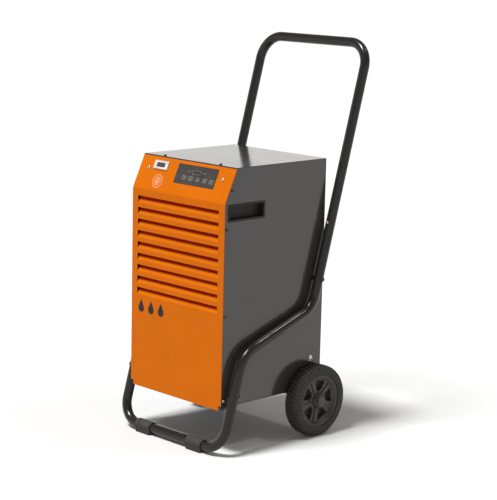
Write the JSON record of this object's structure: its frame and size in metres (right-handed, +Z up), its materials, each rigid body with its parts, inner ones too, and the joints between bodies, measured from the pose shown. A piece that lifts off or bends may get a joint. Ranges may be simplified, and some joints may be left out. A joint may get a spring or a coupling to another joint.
{
  "type": "commercial dehumidifier",
  "caption": "Portable building dehumidifier: louvred sheet-metal case with a slanted control face on a bent tube trolley with push handle, foot bar and wheels.",
  "frame": {"origin": "on the floor under the middle of the machine's plan outline", "axes": "+X across the case towards its keypad end, +Y from the front panel to the rear, +Z up"},
  "size_m": [0.4972, 0.5812, 1.1335],
  "materials": {
    "orange_paint": "satin orange powder coat",
    "grey_paint": "satin dark grey powder coat",
    "black_paint": "gloss black paint on steel tube",
    "zinc_sheet": "galvanised sheet",
    "zinc_hardware": "bright zinc plate",
    "black_hardware": "black oxide",
    "dark_plastic": "fine grained black moulding",
    "key_plastic": "dark grey membrane key",
    "display_glass": "smoked window",
    "lamp_red": "red lens",
    "board_green": "solder resist",
    "counter_white": "white moulding",
    "badge_white": "printed label",
    "decal_dark": "applied film",
    "fin_aluminium": "bare fins",
    "copper": "bare copper tube",
    "motor_black": "black enamel",
    "rubber_black": "moulded rubber",
    "tray_plastic": "light grey moulding",
    "tank_plastic": "dark grey moulding",
    "tyre_rubber": "treaded black rubber",
    "rim_plastic": "black moulded wheel"
  },
  "bodies": {
    "trolley": {"axle": "zinc_hardware", "axle_brackets": "zinc_sheet", "axle_caps": "rim_plastic", "badge_disc": "badge_white", "base_pan": "zinc_sheet", "bracket_bolts": "zinc_hardware", "casing_hood": "grey_paint", "compressor": "motor_black", "compressor_bolts": "zinc_hardware", "compressor_grommets": "rubber_black", "condenser_fins": "fin_aluminium", "condenser_tubes": "copper", "control_board": "board_green", "control_overlay": "dark_plastic", "display_window": "display_glass", "drain_tube": "rubber_black", "drip_tray": "tray_plastic", "evaporator_fins": "fin_aluminium", "evaporator_tubes": "copper", "fan_guard": "motor_black", "fan_motor": "motor_black", "fan_shroud": "zinc_sheet", "filter_cassette": "dark_plastic", "filter_drier": "copper", "float_switch": "dark_plastic", "foot_pad_left": "rubber_black", "foot_pad_right": "rubber_black", "frame_bolts": "black_hardware", "frame_spacers": "zinc_hardware", "frame_tube": "black_paint", "front_decal": "decal_dark", "front_panel": "orange_paint", "grip_pocket_left": "dark_plastic", "grip_pocket_right": "dark_plastic", "handle_tube": "black_paint", "hood_screws": "black_hardware", "hour_counter_case": "counter_white", "hour_counter_window": "display_glass", "indicator_lamps": "lamp_red", "joint_bolts": "black_hardware", "joint_sleeves": "zinc_hardware", "mains_inlet": "dark_plastic", "panel_screws": "zinc_hardware", "rear_panel": "grey_paint", "rear_screws": "black_hardware", "refrigerant_pipes": "copper", "shelf_plate": "zinc_sheet", "side_bolts": "zinc_hardware"},
    "wheel_left": {"tyre_left": "tyre_rubber", "wheel_rim_left": "rim_plastic"},
    "wheel_right": {"tyre_right": "tyre_rubber", "wheel_rim_right": "rim_plastic"},
    "fan_rotor": {"fan_rotor": "dark_plastic"},
    "water_tank": {"water_tank": "tank_plastic"},
    "tank_float": {"tank_float": "tray_plastic"},
    "key_1": {"key_1": "key_plastic"},
    "key_2": {"key_2": "key_plastic"},
    "key_3": {"key_3": "key_plastic"},
    "key_4": {"key_4": "key_plastic"},
    "key_5": {"key_5": "key_plastic"}
  },
  "joints": [
    {"name": "wheel_left_spin", "type": "hinge", "parent": "trolley", "child": "wheel_left", "pos_m": [-0.218, 0.08535, 0.104], "axis": [1, 0, 0], "continuous": true},
    {"name": "wheel_right_spin", "type": "hinge", "parent": "trolley", "child": "wheel_right", "pos_m": [0.218, 0.08535, 0.104], "axis": [1, 0, 0], "continuous": true},
    {"name": "fan_spin", "type": "hinge", "parent": "trolley", "child": "fan_rotor", "pos_m": [0, 0.05635, 0.542], "axis": [0, 1, 0], "continuous": true},
    {"name": "tank_slide", "type": "slide", "parent": "trolley", "child": "water_tank", "axis": [0, 1, 0], "range_m": [0, 0.25]},
    {"name": "float_swing", "type": "hinge", "parent": "water_tank", "child": "tank_float", "pos_m": [0, -0.08215, 0.273], "axis": [1, 0, 0], "range_deg": [0, 42]},
    {"name": "key_1_press", "type": "slide", "parent": "trolley", "child": "key_1", "axis": [0, 0.9092, -0.4163], "range_m": [0, 0.0008], "stiffness_N_per_m": 500},
    {"name": "key_2_press", "type": "slide", "parent": "trolley", "child": "key_2", "axis": [0, 0.9092, -0.4163], "range_m": [0, 0.0008], "stiffness_N_per_m": 500},
    {"name": "key_3_press", "type": "slide", "parent": "trolley", "child": "key_3", "axis": [0, 0.9092, -0.4163], "range_m": [0, 0.0008], "stiffness_N_per_m": 500},
    {"name": "key_4_press", "type": "slide", "parent": "trolley", "child": "key_4", "axis": [0, 0.9092, -0.4163], "range_m": [0, 0.0008], "stiffness_N_per_m": 500},
    {"name": "key_5_press", "type": "slide", "parent": "trolley", "child": "key_5", "axis": [0, 0.9092, -0.4163], "range_m": [0, 0.0008], "stiffness_N_per_m": 500}
  ]
}
